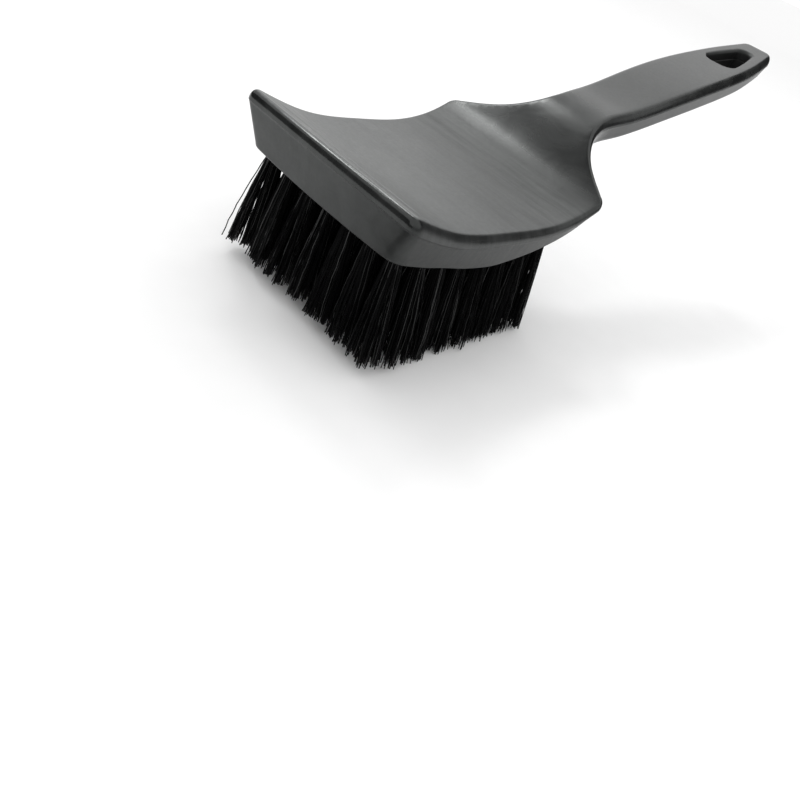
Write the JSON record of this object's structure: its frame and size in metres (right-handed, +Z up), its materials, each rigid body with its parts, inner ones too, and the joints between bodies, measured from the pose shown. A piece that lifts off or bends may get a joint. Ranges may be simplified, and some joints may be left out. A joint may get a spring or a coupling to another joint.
{
  "type": "wheel brush",
  "caption": "Short hand brush for scrubbing wheels and tyres: a curved rectangular head with flared bristle tufts and a slim raised handle with a hang hole.",
  "frame": {"origin": "middle of the bottom of the whole brush's bounding box, on the plane of the bristle tips", "axes": "+X from the front edge of the head towards the tail of the handle, +Y across the brush, +Z up, away from the bristle tips"},
  "size_m": [0.2604, 0.0764, 0.1036],
  "materials": {
    "block_plastic": "satin dark charcoal moulded polypropylene with fine flow streaks",
    "bristle": "satin black crimped plastic filament"
  },
  "bodies": {
    "root": {"handle_block": "block_plastic", "tuft_r1_c1": "bristle", "tuft_r1_c2": "bristle", "tuft_r1_c3": "bristle", "tuft_r1_c4": "bristle", "tuft_r1_c5": "bristle", "tuft_r1_c6": "bristle", "tuft_r1_c7": "bristle", "tuft_r2_c1": "bristle", "tuft_r2_c2": "bristle", "tuft_r2_c3": "bristle", "tuft_r2_c4": "bristle", "tuft_r2_c5": "bristle", "tuft_r2_c6": "bristle", "tuft_r2_c7": "bristle", "tuft_r3_c1": "bristle", "tuft_r3_c2": "bristle", "tuft_r3_c3": "bristle", "tuft_r3_c4": "bristle", "tuft_r3_c5": "bristle", "tuft_r3_c6": "bristle", "tuft_r3_c7": "bristle", "tuft_r4_c1": "bristle", "tuft_r4_c2": "bristle", "tuft_r4_c3": "bristle", "tuft_r4_c4": "bristle", "tuft_r4_c5": "bristle", "tuft_r4_c6": "bristle", "tuft_r4_c7": "bristle", "tuft_r5_c1": "bristle", "tuft_r5_c2": "bristle", "tuft_r5_c3": "bristle", "tuft_r5_c4": "bristle", "tuft_r5_c5": "bristle", "tuft_r5_c6": "bristle", "tuft_r5_c7": "bristle", "tuft_r6_c1": "bristle", "tuft_r6_c2": "bristle", "tuft_r6_c3": "bristle", "tuft_r6_c4": "bristle", "tuft_r6_c5": "bristle", "tuft_r6_c6": "bristle", "tuft_r6_c7": "bristle", "tuft_r7_c1": "bristle", "tuft_r7_c2": "bristle", "tuft_r7_c3": "bristle", "tuft_r7_c4": "bristle", "tuft_r7_c5": "bristle", "tuft_r7_c6": "bristle", "tuft_r7_c7": "bristle", "tuft_r8_c1": "bristle", "tuft_r8_c2": "bristle", "tuft_r8_c3": "bristle", "tuft_r8_c4": "bristle", "tuft_r8_c5": "bristle", "tuft_r8_c6": "bristle", "tuft_r8_c7": "bristle"}
  },
  "joints": []
}
